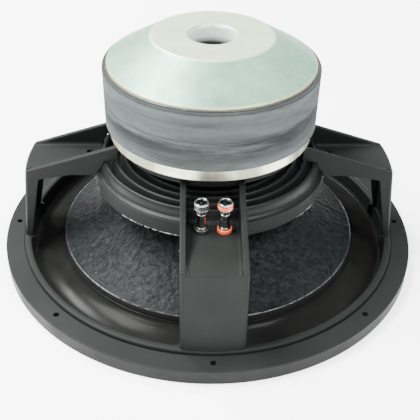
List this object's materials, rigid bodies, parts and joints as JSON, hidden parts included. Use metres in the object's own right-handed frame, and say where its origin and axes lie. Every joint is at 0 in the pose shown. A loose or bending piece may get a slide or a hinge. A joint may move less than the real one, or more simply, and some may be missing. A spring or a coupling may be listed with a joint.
{
  "type": "car subwoofer speaker",
  "caption": "Round subwoofer driver with a cast four-leg basket, paper cone, rubber surround, stacked ferrite motor and push terminals.",
  "frame": {"origin": "centre of the flange's front face, on the speaker's axis, where it rests face down", "axes": "+Z from the front of the speaker to the motor, -Y towards the leg with the terminals"},
  "size_m": [0.4599, 0.46, 0.2471],
  "materials": {
    "black_casting": "satin black paint on a casting, finely grained",
    "gasket_foam": "matt closed-cell foam",
    "rubber": "satin black-brown rubber",
    "paper_cone": "wrinkled coated black paper",
    "dust_cap_paper": "pressed black paper",
    "tinned_brass": "tinned, slightly dull",
    "spider_cloth": "black woven cloth with resin",
    "former_film": "amber film",
    "copper_wire": "enamelled copper",
    "zinc_plate": "bright zinc plating",
    "ferrite": "ground ferrite, matt grey",
    "zinc_yoke": "pale satin zinc plating",
    "copper_sleeve": "plain copper",
    "bare_aluminium": "turned",
    "screen_mesh": "black perforated sheet",
    "black_steel": "black oxide",
    "red_plastic": "gloss orange-red",
    "black_plastic": "gloss black",
    "dark_chrome": "nickel plate",
    "bright_chrome": "chrome plate",
    "spring_steel": "bright steel",
    "fibre_board": "pressed fibre",
    "braid": "copper tinsel over thread"
  },
  "bodies": {
    "frame": {"basket": "black_casting", "gasket": "gasket_foam", "surround": "rubber", "spider": "spider_cloth", "front_plate": "zinc_plate", "magnet_front": "ferrite", "magnet_rear": "ferrite", "pole_yoke": "zinc_yoke", "pole_sleeve": "copper_sleeve", "shorting_ring": "bare_aluminium", "vent_screen": "screen_mesh", "deck_screws": "black_steel", "terminal_base_pos": "red_plastic", "terminal_base_neg": "black_plastic", "terminal_barrel_pos": "dark_chrome", "terminal_barrel_neg": "dark_chrome", "terminal_spring_pos": "spring_steel", "terminal_spring_neg": "spring_steel", "terminal_insulators": "fibre_board", "terminal_tabs": "tinned_brass", "terminal_nuts": "spring_steel", "tinsel_lead_pos": "braid", "tinsel_lead_neg": "braid"},
    "cone_assembly": {"cone": "paper_cone", "dust_cap": "dust_cap_paper", "cone_eyelets": "tinned_brass", "former": "former_film", "winding": "copper_wire", "coil_leads": "copper_wire"},
    "push_cap_pos": {"terminal_cap_pos": "bright_chrome", "cap_band_pos": "red_plastic"},
    "push_cap_neg": {"terminal_cap_neg": "bright_chrome", "cap_band_neg": "black_plastic"}
  },
  "joints": [
    {"name": "cone_travel", "type": "slide", "parent": "frame", "child": "cone_assembly", "axis": [0, 0, 1], "range_m": [-0.012, 0.012], "stiffness_N_per_m": 7000, "deforming": ["surround", "spider", "tinsel_lead_pos", "tinsel_lead_neg"]},
    {"name": "push_pos", "type": "slide", "parent": "frame", "child": "push_cap_pos", "axis": [0, 0, 1], "range_m": [-0.004, 0], "stiffness_N_per_m": 800, "springref_m": 0.001, "deforming": ["terminal_spring_pos"]},
    {"name": "push_neg", "type": "slide", "parent": "frame", "child": "push_cap_neg", "axis": [0, 0, 1], "range_m": [-0.004, 0], "stiffness_N_per_m": 800, "springref_m": 0.001, "deforming": ["terminal_spring_neg"]}
  ]
}
